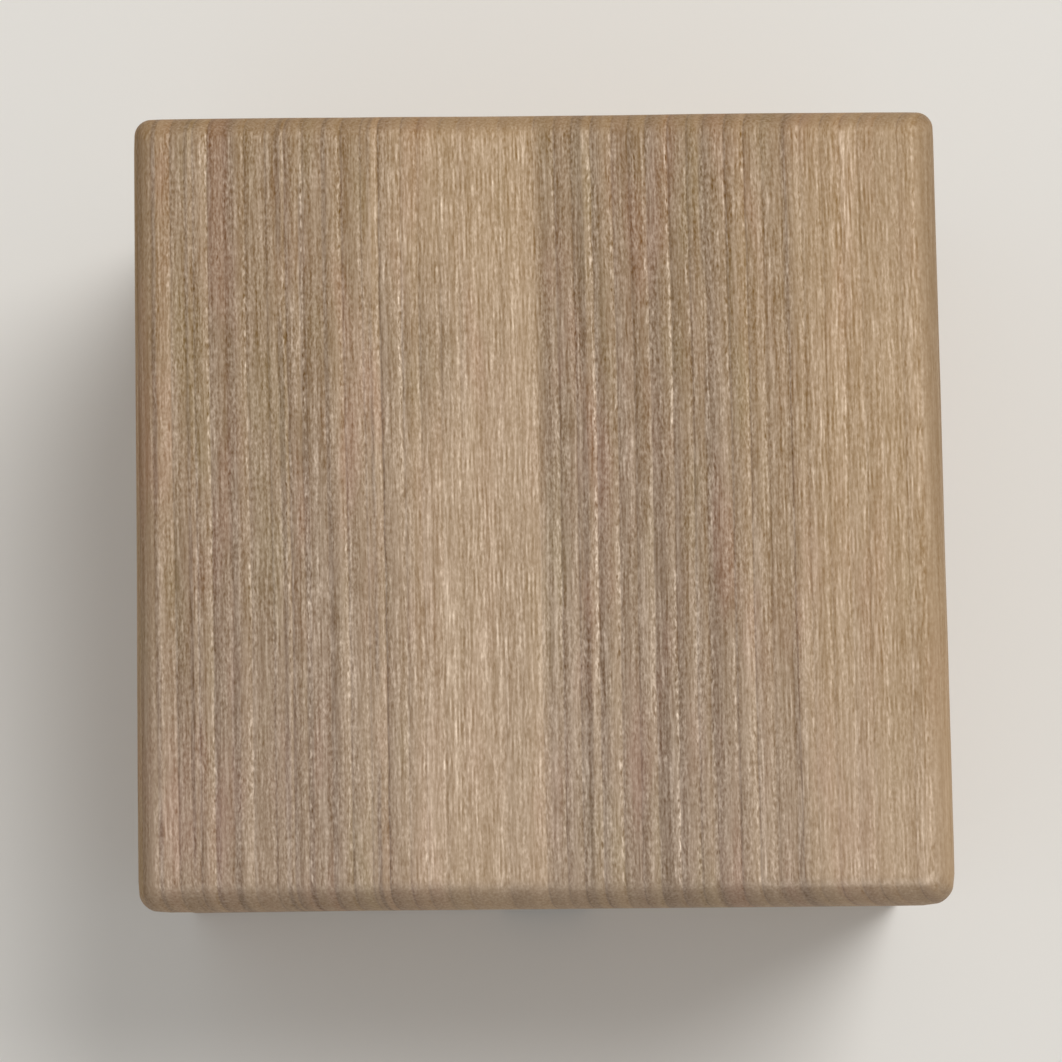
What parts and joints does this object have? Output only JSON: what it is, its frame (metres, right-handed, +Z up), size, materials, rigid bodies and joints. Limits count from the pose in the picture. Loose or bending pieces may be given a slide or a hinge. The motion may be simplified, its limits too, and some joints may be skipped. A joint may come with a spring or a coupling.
{
  "type": "boxed tea bowl",
  "caption": "Square paulownia box with finger-jointed, nailed walls and a battened lift-off lid with rounded edges, closed over a footed ceramic tea bowl.",
  "frame": {"origin": "on the surface that the box stands on, under the middle of the box", "axes": "+Z up, +Y along the grain of the lid towards its far edge, +X across the grain to the right; the front of the box faces -Y"},
  "size_m": [0.157, 0.155, 0.1072],
  "materials": {
    "lid_wood": "bare planed paulownia, aged brown",
    "box_wood": "bare planed paulownia, aged brown",
    "batten_wood": "bare planed paulownia, less aged",
    "nail_wood": "bare dense hardwood, planed flush",
    "bowl_glaze": "satin ash glaze over brown clay"
  },
  "bodies": {
    "box": {"base_board": "box_wood", "front_wall": "box_wood", "right_wall": "box_wood", "back_wall": "box_wood", "left_wall": "box_wood", "front_finger_nail_1": "nail_wood", "front_finger_nail_2": "nail_wood", "front_finger_nail_3": "nail_wood", "front_finger_nail_4": "nail_wood", "front_finger_nail_5": "nail_wood", "front_finger_nail_6": "nail_wood", "right_finger_nail_1": "nail_wood", "right_finger_nail_2": "nail_wood", "right_finger_nail_3": "nail_wood", "right_finger_nail_4": "nail_wood", "back_finger_nail_1": "nail_wood", "back_finger_nail_2": "nail_wood", "back_finger_nail_3": "nail_wood", "back_finger_nail_4": "nail_wood", "back_finger_nail_5": "nail_wood", "back_finger_nail_6": "nail_wood", "left_finger_nail_1": "nail_wood", "left_finger_nail_2": "nail_wood", "left_finger_nail_3": "nail_wood", "left_finger_nail_4": "nail_wood", "front_base_nail_1": "nail_wood", "front_base_nail_2": "nail_wood", "right_base_nail_1": "nail_wood", "right_base_nail_2": "nail_wood", "back_base_nail_1": "nail_wood", "back_base_nail_2": "nail_wood", "left_base_nail_1": "nail_wood", "left_base_nail_2": "nail_wood"},
    "bowl": {"bowl": "bowl_glaze"},
    "lid": {"lid_board": "lid_wood", "front_batten": "batten_wood", "right_batten": "batten_wood", "back_batten": "batten_wood", "left_batten": "batten_wood", "front_batten_peg_1": "nail_wood", "front_batten_peg_2": "nail_wood", "right_batten_peg_1": "nail_wood", "right_batten_peg_2": "nail_wood", "back_batten_peg_1": "nail_wood", "back_batten_peg_2": "nail_wood", "left_batten_peg_1": "nail_wood", "left_batten_peg_2": "nail_wood"}
  },
  "joints": [
    {"name": "bowl_lift", "type": "slide", "parent": "box", "child": "bowl", "axis": [0, 0, 1], "range_m": [0, 0.11]},
    {"name": "lid_lift", "type": "slide", "parent": "bowl", "child": "lid", "axis": [0, 0, 1], "range_m": [0, 0.12]}
  ]
}
